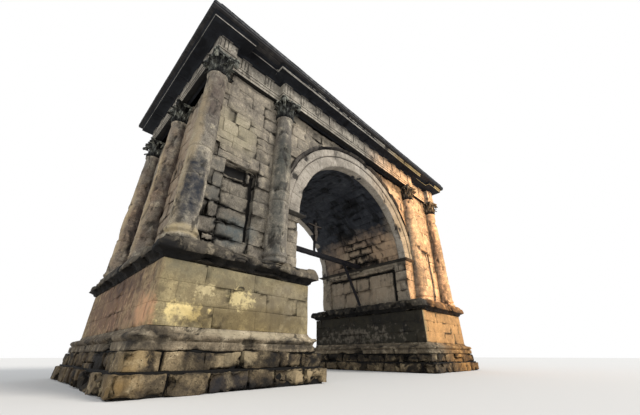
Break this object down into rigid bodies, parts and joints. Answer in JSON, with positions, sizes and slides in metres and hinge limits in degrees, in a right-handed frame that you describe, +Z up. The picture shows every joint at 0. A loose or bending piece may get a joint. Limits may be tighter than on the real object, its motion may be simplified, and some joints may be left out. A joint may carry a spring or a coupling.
{
  "type": "triumphal arch",
  "caption": "Freestanding stone arch with one barrel-vaulted passage, engaged leafy-capital columns on a high podium, a triglyph frieze and a low hipped slate roof.",
  "frame": {"origin": "on the ground, in the middle of the arch's plan", "axes": "+X along the front to the viewer's right, +Y from the front face to the rear, +Z up"},
  "size_m": [20.32, 9.74, 14.82],
  "materials": {
    "plinth_stone": "rough, worn conglomerate blocks",
    "podium_stone": "smooth ashlar with stains and patches",
    "moulding_stone": "dark weathered mouldings",
    "wall_stone": "weathered ashlar",
    "column_stone": "weathered drums",
    "capital_stone": "dark worn carving",
    "arch_stone": "pale dressed voussoirs",
    "vault_stone": "dark damp vault stones",
    "entablature_stone": "pale weathered stone",
    "cornice_stone": "dark weathered soffit with a pale crown",
    "deck_boards": "dark stained boards",
    "slate": "matt slates",
    "old_timber": "dark weathered oak"
  },
  "bodies": {
    "root": {"left_lower_plinth": "plinth_stone", "left_upper_plinth": "plinth_stone", "left_base_moulding": "plinth_stone", "left_podium": "podium_stone", "left_podium_cornice": "moulding_stone", "left_pier_wall": "wall_stone", "left_impost": "moulding_stone", "right_lower_plinth": "plinth_stone", "right_upper_plinth": "plinth_stone", "right_base_moulding": "plinth_stone", "right_podium": "podium_stone", "right_podium_cornice": "moulding_stone", "right_pier_wall": "wall_stone", "right_impost": "moulding_stone", "barrel_vault": "vault_stone", "front_archivolt": "arch_stone", "rear_archivolt": "arch_stone", "front_left_corner_column": "column_stone", "front_left_corner_capital": "capital_stone", "front_left_inner_column": "column_stone", "front_left_inner_capital": "capital_stone", "front_right_corner_column": "column_stone", "front_right_corner_capital": "capital_stone", "front_right_inner_column": "column_stone", "front_right_inner_capital": "capital_stone", "rear_left_corner_column": "column_stone", "rear_left_corner_capital": "capital_stone", "rear_left_inner_column": "column_stone", "rear_left_inner_capital": "capital_stone", "rear_right_corner_column": "column_stone", "rear_right_corner_capital": "capital_stone", "rear_right_inner_column": "column_stone", "rear_right_inner_capital": "capital_stone", "left_side_column": "column_stone", "left_side_capital": "capital_stone", "right_side_column": "column_stone", "right_side_capital": "capital_stone", "architrave": "entablature_stone", "frieze": "entablature_stone", "cornice": "cornice_stone", "roof_deck": "deck_boards", "slate_roof": "slate", "tie_beam": "old_timber", "beam_struts": "old_timber", "beam_cross": "old_timber"}
  },
  "joints": []
}
